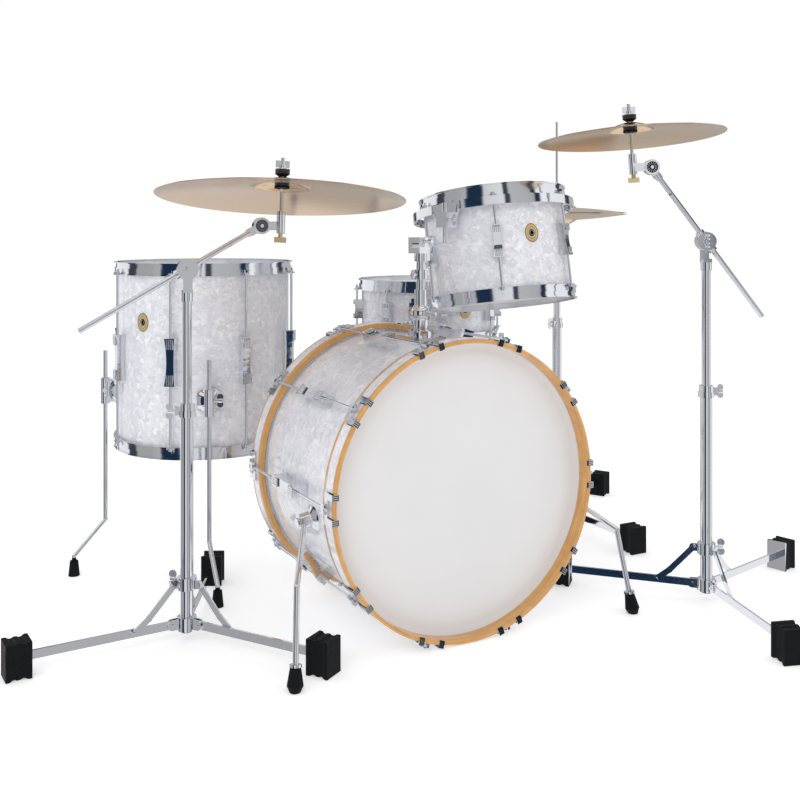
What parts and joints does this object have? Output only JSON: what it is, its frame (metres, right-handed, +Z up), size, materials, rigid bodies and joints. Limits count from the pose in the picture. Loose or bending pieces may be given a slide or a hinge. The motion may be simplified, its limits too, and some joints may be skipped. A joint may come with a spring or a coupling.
{
  "type": "acoustic drum kit",
  "caption": "Acoustic drum kit: bass drum with spurs, rack tom, legged floor tom, snare, hi-hat, and ride and crash cymbals on adjustable boom stands.",
  "frame": {"origin": "on the floor, under the middle of the whole kit", "axes": "+Z up, +Y from the audience towards the player along the bass drum's axis, +X towards the hi-hat side"},
  "size_m": [1.8038, 1.4026, 1.111],
  "materials": {
    "pearl_wrap": "glossy white pearl wrap on a wooden shell",
    "drum_head": "smooth white film",
    "maple": "lacquered maple with a pearl inlay band",
    "chrome": "polished chrome plate",
    "bronze": "lathed cymbal bronze",
    "rubber": "moulded black rubber",
    "steel_wire": "bright wire"
  },
  "bodies": {
    "kit": {"bass_shell": "pearl_wrap", "bass_heads": "drum_head", "bass_hoops": "maple", "bass_lugs": "chrome", "bass_claws": "chrome", "tension_rods": "chrome", "tom_mount_base": "chrome", "floor_tom_shell": "pearl_wrap", "floor_tom_heads": "drum_head", "floor_tom_hoops": "chrome", "floor_tom_lugs": "chrome", "leg_brackets": "chrome", "stand_bases": "chrome", "tripod_legs": "chrome", "tripod_feet": "rubber"},
    "left_spur": {"left_spur": "chrome"},
    "right_spur": {"right_spur": "chrome"},
    "floor_leg_1": {"floor_leg_1": "chrome"},
    "floor_leg_2": {"floor_leg_2": "chrome"},
    "floor_leg_3": {"floor_leg_3": "chrome"},
    "tom_post": {"tom_post": "chrome"},
    "tom_arm": {"tom_arm": "chrome"},
    "tom": {"tom_shell": "pearl_wrap", "tom_heads": "drum_head", "tom_hoops": "chrome", "tom_lugs": "chrome", "tom_rods": "chrome", "tom_suspension_ring": "chrome"},
    "snare_post": {"snare_post": "chrome"},
    "snare": {"snare_basket": "chrome", "snare_shell": "pearl_wrap", "snare_heads": "drum_head", "snare_hoops": "chrome", "snare_lugs": "chrome", "snare_rods": "chrome", "snare_strainer": "chrome"},
    "strainer_lever": {"strainer_lever": "chrome"},
    "snare_wires": {"snare_wires": "steel_wire"},
    "hihat_seat": {"hihat_upper_tube": "chrome", "hihat_bottom_cymbal": "bronze"},
    "hihat_pull_rod": {"hihat_rod": "chrome", "hihat_top_cymbal": "bronze"},
    "hihat_footboard": {"hihat_footboard": "chrome"},
    "crash_collar": {"crash_collar": "chrome"},
    "ride_upper_tube": {"ride_upper_tube": "chrome"},
    "ride_boom_tilter": {"ride_boom_tilter": "chrome"},
    "ride_boom_arm": {"ride_boom_arm": "chrome"},
    "ride_tilter": {"ride_tilter": "chrome"},
    "ride_cymbal": {"ride_cymbal": "bronze"},
    "crash_upper_tube": {"crash_upper_tube": "chrome"},
    "crash_boom_tilter": {"crash_boom_tilter": "chrome"},
    "crash_boom_arm": {"crash_boom_arm": "chrome"},
    "crash_tilter": {"crash_tilter": "chrome"},
    "crash_cymbal": {"crash_cymbal": "bronze"},
    "crash_leg_1": {"crash_leg_1": "chrome"},
    "crash_strut_1": {"crash_strut_1": "chrome"},
    "crash_leg_2": {"crash_leg_2": "chrome"},
    "crash_strut_2": {"crash_strut_2": "chrome"},
    "crash_leg_3": {"crash_leg_3": "chrome"},
    "crash_strut_3": {"crash_strut_3": "chrome"}
  },
  "joints": [
    {"name": "left_spur_fold", "type": "hinge", "parent": "kit", "child": "left_spur", "pos_m": [-0.37092, -0.183, 0.24465], "axis": [-0.9848, 0, -0.1736], "range_deg": [0, 90]},
    {"name": "right_spur_fold", "type": "hinge", "parent": "kit", "child": "right_spur", "pos_m": [0.22292, -0.183, 0.24465], "axis": [-0.9848, 0, 0.1736], "range_deg": [0, 90]},
    {"name": "floor_leg_1_slide", "type": "slide", "parent": "kit", "child": "floor_leg_1", "axis": [0, 0, 1], "range_m": [0, 0.18]},
    {"name": "floor_leg_2_slide", "type": "slide", "parent": "kit", "child": "floor_leg_2", "axis": [0, 0, 1], "range_m": [0, 0.18]},
    {"name": "floor_leg_3_slide", "type": "slide", "parent": "kit", "child": "floor_leg_3", "axis": [0, 0, 1], "range_m": [0, 0.18]},
    {"name": "tom_post_height", "type": "slide", "parent": "kit", "child": "tom_post", "axis": [0, 0, 1], "range_m": [-0.02, 0.02]},
    {"name": "tom_arm_tilt", "type": "hinge", "parent": "tom_post", "child": "tom_arm", "pos_m": [-0.074, -0.121, 0.775], "axis": [-0.9172, -0.3984, 0], "range_deg": [-3, 4]},
    {"name": "tom_swivel", "type": "hinge", "parent": "tom_arm", "child": "tom", "pos_m": [0.00637, -0.08609, 0.85], "axis": [0, 0, 1], "range_deg": [-12, 1]},
    {"name": "snare_height", "type": "slide", "parent": "kit", "child": "snare_post", "axis": [0, 0, 1], "range_m": [-0.02, 0.02]},
    {"name": "snare_tilt", "type": "hinge", "parent": "snare_post", "child": "snare", "pos_m": [0.22, 0.358, 0.47], "axis": [-1, 0, 0], "range_deg": [0, 8]},
    {"name": "strainer_lever_throw", "type": "hinge", "parent": "snare", "child": "strainer_lever", "pos_m": [0.09414, 0.21063, 0.592], "axis": [0.7604, -0.6494, 0], "range_deg": [0, 80]},
    {"name": "snare_wires_drop", "type": "slide", "parent": "snare", "child": "snare_wires", "axis": [0, 0, 1], "range_m": [-0.003, 0]},
    {"name": "ride_height", "type": "slide", "parent": "kit", "child": "ride_upper_tube", "axis": [0, 0, 1], "range_m": [-0.04, 0.1]},
    {"name": "ride_boom_tilt", "type": "hinge", "parent": "ride_upper_tube", "child": "ride_boom_tilter", "pos_m": [-0.558, -0.038, 0.731], "axis": [-0.1908, -0.9816, 0], "range_deg": [-10, 10]},
    {"name": "ride_boom_slide", "type": "slide", "parent": "ride_boom_tilter", "child": "ride_boom_arm", "axis": [0.8501, -0.1652, 0.5], "range_m": [-0.05, 0.05]},
    {"name": "ride_tilt", "type": "hinge", "parent": "ride_boom_arm", "child": "ride_tilter", "pos_m": [-0.41348, -0.06609, 0.816], "axis": [0.1908, 0.9816, 0], "range_deg": [-15, 15]},
    {"name": "ride_cymbal_rock", "type": "hinge", "parent": "ride_tilter", "child": "ride_cymbal", "pos_m": [-0.36686, -0.06437, 0.91327], "axis": [0.9816, -0.1908, 0], "range_deg": [-8, 8]},
    {"name": "crash_height", "type": "slide", "parent": "kit", "child": "crash_upper_tube", "axis": [0, 0, 1], "range_m": [0, 0.1]},
    {"name": "crash_boom_tilt", "type": "hinge", "parent": "crash_upper_tube", "child": "crash_boom_tilter", "pos_m": [0.504, -0.367, 0.783], "axis": [0.512, 0.859, 0], "range_deg": [0, 12]},
    {"name": "crash_boom_slide", "type": "slide", "parent": "crash_boom_tilter", "child": "crash_boom_arm", "axis": [-0.5085, 0.3031, 0.8059], "range_m": [0, 0.04]},
    {"name": "crash_tilt", "type": "hinge", "parent": "crash_boom_arm", "child": "crash_tilter", "pos_m": [0.40179, -0.30607, 0.94499], "axis": [0.512, 0.859, 0], "range_deg": [-4, 12]},
    {"name": "crash_cymbal_rock", "type": "hinge", "parent": "crash_tilter", "child": "crash_cymbal", "pos_m": [0.36501, -0.27798, 1.04267], "axis": [-0.859, 0.512, 0], "range_deg": [-5, 5]},
    {"name": "crash_leg_1_fold", "type": "hinge", "parent": "kit", "child": "crash_leg_1", "pos_m": [0.49493, -0.3956, 0.034], "axis": [-0.9532, 0.3024, 0], "range_deg": [0, 80]},
    {"name": "crash_leg_2_fold", "type": "hinge", "parent": "kit", "child": "crash_leg_2", "pos_m": [0.5333, -0.36056, 0.034], "axis": [0.2147, -0.9767, 0], "range_deg": [0, 80]},
    {"name": "crash_leg_3_fold", "type": "hinge", "parent": "kit", "child": "crash_leg_3", "pos_m": [0.48377, -0.34485, 0.034], "axis": [0.7385, 0.6743, 0], "range_deg": [0, 80]},
    {"name": "crash_strut_1_swing", "type": "hinge", "parent": "crash_leg_1", "child": "crash_strut_1", "pos_m": [0.47165, -0.46899, 0.034], "axis": [-0.9532, 0.3024, 0], "range_deg": [-117.9, 0]},
    {"name": "crash_strut_2_swing", "type": "hinge", "parent": "crash_leg_2", "child": "crash_strut_2", "pos_m": [0.6085, -0.34402, 0.034], "axis": [0.2147, -0.9767, 0], "range_deg": [-117.9, 0]},
    {"name": "crash_strut_3_swing", "type": "hinge", "parent": "crash_leg_3", "child": "crash_strut_3", "pos_m": [0.43185, -0.28798, 0.034], "axis": [0.7385, 0.6743, 0], "range_deg": [-117.9, 0]},
    {"name": "crash_collar_slide", "type": "slide", "parent": "kit", "child": "crash_collar", "axis": [0, 0, 1], "range_m": [0, 0.1083]},
    {"name": "hihat_height", "type": "slide", "parent": "kit", "child": "hihat_seat", "axis": [0, 0, 1], "range_m": [-0.03, 0.04]},
    {"name": "hihat_pull", "type": "slide", "parent": "hihat_seat", "child": "hihat_pull_rod", "axis": [0, 0, 1], "range_m": [0, 0.04]},
    {"name": "hihat_pedal", "type": "hinge", "parent": "kit", "child": "hihat_footboard", "pos_m": [0.591, 0.545, 0.016], "axis": [-1, 0, 0], "range_deg": [0, 9.9]}
  ],
  "couplings": [
    {"joint": "crash_leg_2_fold", "follows": "crash_leg_1_fold", "ratio": 1},
    {"joint": "crash_leg_3_fold", "follows": "crash_leg_1_fold", "ratio": 1},
    {"joint": "crash_strut_1_swing", "follows": "crash_leg_1_fold", "ratio": -1.4676},
    {"joint": "crash_strut_2_swing", "follows": "crash_leg_1_fold", "ratio": -1.4676},
    {"joint": "crash_strut_3_swing", "follows": "crash_leg_1_fold", "ratio": -1.4676},
    {"joint": "crash_collar_slide", "follows": "crash_leg_1_fold", "m_per_rad": 0.077191},
    {"joint": "hihat_pedal", "follows": "hihat_pull", "rad_per_m": 4.29}
  ]
}
